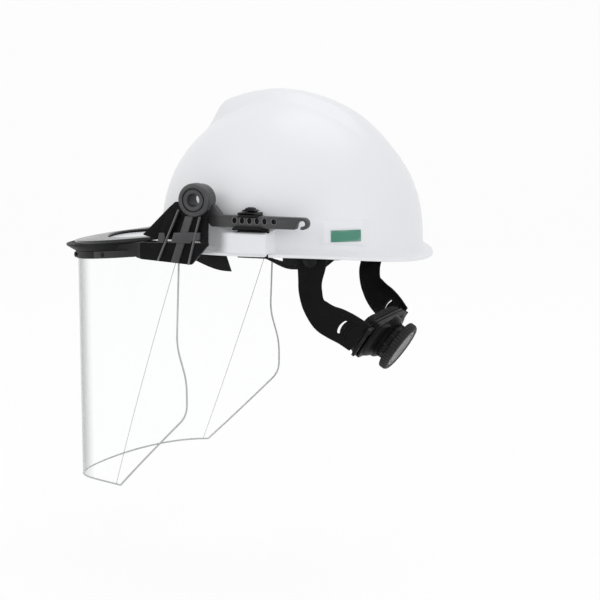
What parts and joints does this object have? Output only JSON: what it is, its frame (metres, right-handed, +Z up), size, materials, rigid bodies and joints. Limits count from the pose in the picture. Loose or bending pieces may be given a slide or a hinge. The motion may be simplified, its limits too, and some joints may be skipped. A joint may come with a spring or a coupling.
{
  "type": "hard hat with face shield",
  "caption": "Hard hat with a four point ratchet suspension and a clear tilting face shield carried on side arms that slide in slot adapters.",
  "frame": {"origin": "the middle of the shell's rim: on the plane of symmetry, level with the rim's lower edge at the sides, which is about where the middle of the wearer's head is held", "axes": "+X towards the wearer's left, -Y to the front where the shield is, +Z up through the crown"},
  "size_m": [0.239, 0.3187, 0.3348],
  "materials": {
    "shell": "smooth moulded white, soft gloss",
    "reflective": "plain green sticker, semi gloss, bare of any print",
    "frame_plastic": "black moulded nylon with a fine satin texture",
    "webbing": "black woven polyester webbing",
    "padding": "black cloth over thin foam",
    "knob_rubber": "black soft moulded rubber",
    "spring_steel": "plain spring steel",
    "clear_shield": "clear polycarbonate sheet with a faint blue edge"
  },
  "bodies": {
    "helmet": {"shell": "shell", "reflective_patch_left": "reflective", "reflective_patch_right": "reflective", "suspension_key_front_left": "frame_plastic", "suspension_key_front_right": "frame_plastic", "suspension_key_rear_left": "frame_plastic", "suspension_key_rear_right": "frame_plastic", "crown_strap_left_to_right": "webbing", "crown_strap_right_to_left": "webbing", "headband": "frame_plastic", "brow_pad": "padding", "nape_stud_left": "frame_plastic", "nape_stud_right": "frame_plastic", "slot_adapter_left": "frame_plastic", "slot_adapter_right": "frame_plastic"},
    "slide_arms": {"side_arm_left": "frame_plastic", "side_arm_right": "frame_plastic", "pivot_bushing_left": "frame_plastic", "pivot_bushing_right": "frame_plastic", "friction_washer_left": "knob_rubber", "friction_washer_right": "knob_rubber"},
    "latch_left": {"adjuster_latch_left": "frame_plastic"},
    "latch_right": {"adjuster_latch_right": "frame_plastic"},
    "visor_frame": {"frame_rail": "frame_plastic", "pivot_bracket_left": "frame_plastic", "pivot_bracket_right": "frame_plastic", "debris_guard": "knob_rubber", "shield_retainer": "frame_plastic", "face_shield": "clear_shield", "shield_stud_1": "frame_plastic", "shield_stud_2": "frame_plastic", "shield_stud_3": "frame_plastic", "shield_stud_4": "frame_plastic", "shield_stud_5": "frame_plastic"},
    "nape": {"nape_arm_left": "frame_plastic", "nape_arm_right": "frame_plastic", "ratchet_housing": "frame_plastic", "ratchet_back_plate": "frame_plastic", "nape_pad": "padding", "click_spring": "spring_steel"},
    "rack_left": {"rack_strap_left": "frame_plastic"},
    "rack_right": {"rack_strap_right": "frame_plastic"},
    "knob": {"ratchet_knob": "knob_rubber", "knob_cap": "frame_plastic", "drive_pinion": "frame_plastic"}
  },
  "joints": [
    {"name": "arm_slide", "type": "slide", "parent": "helmet", "child": "slide_arms", "axis": [0, -1, 0], "range_m": [0, 0.0124]},
    {"name": "visor_tilt", "type": "hinge", "parent": "slide_arms", "child": "visor_frame", "pos_m": [0, -0.0303, 0.0434], "axis": [-1, 0, 0], "range_deg": [0, 95]},
    {"name": "latch_left", "type": "hinge", "parent": "helmet", "child": "latch_left", "pos_m": [0.0997, 0.0116, 0.0336], "axis": [0, 1, 0], "range_deg": [0, 5], "stiffness_Nm_per_rad": 0.4, "springref_deg": -1.72},
    {"name": "latch_right", "type": "hinge", "parent": "helmet", "child": "latch_right", "pos_m": [-0.0997, 0.0116, 0.0336], "axis": [0, -1, 0], "range_deg": [0, 5], "stiffness_Nm_per_rad": 0.4, "springref_deg": -1.72},
    {"name": "nape_tilt", "type": "hinge", "parent": "helmet", "child": "nape", "pos_m": [0, 0.052, -0.003], "axis": [1, 0, 0], "range_deg": [-8, 8]},
    {"name": "knob_turn", "type": "hinge", "parent": "nape", "child": "knob", "pos_m": [0, 0.083, -0.0715], "axis": [0, 0.829, -0.5592], "range_deg": [-95, 95]},
    {"name": "rack_left_slide", "type": "slide", "parent": "nape", "child": "rack_left", "axis": [1, 0, 0], "range_m": [-0.01, 0.01]},
    {"name": "rack_right_slide", "type": "slide", "parent": "nape", "child": "rack_right", "axis": [1, 0, 0], "range_m": [-0.01, 0.01]}
  ],
  "couplings": [
    {"joint": "rack_left_slide", "follows": "knob_turn", "m_per_rad": 0.006},
    {"joint": "rack_right_slide", "follows": "knob_turn", "m_per_rad": -0.006}
  ]
}
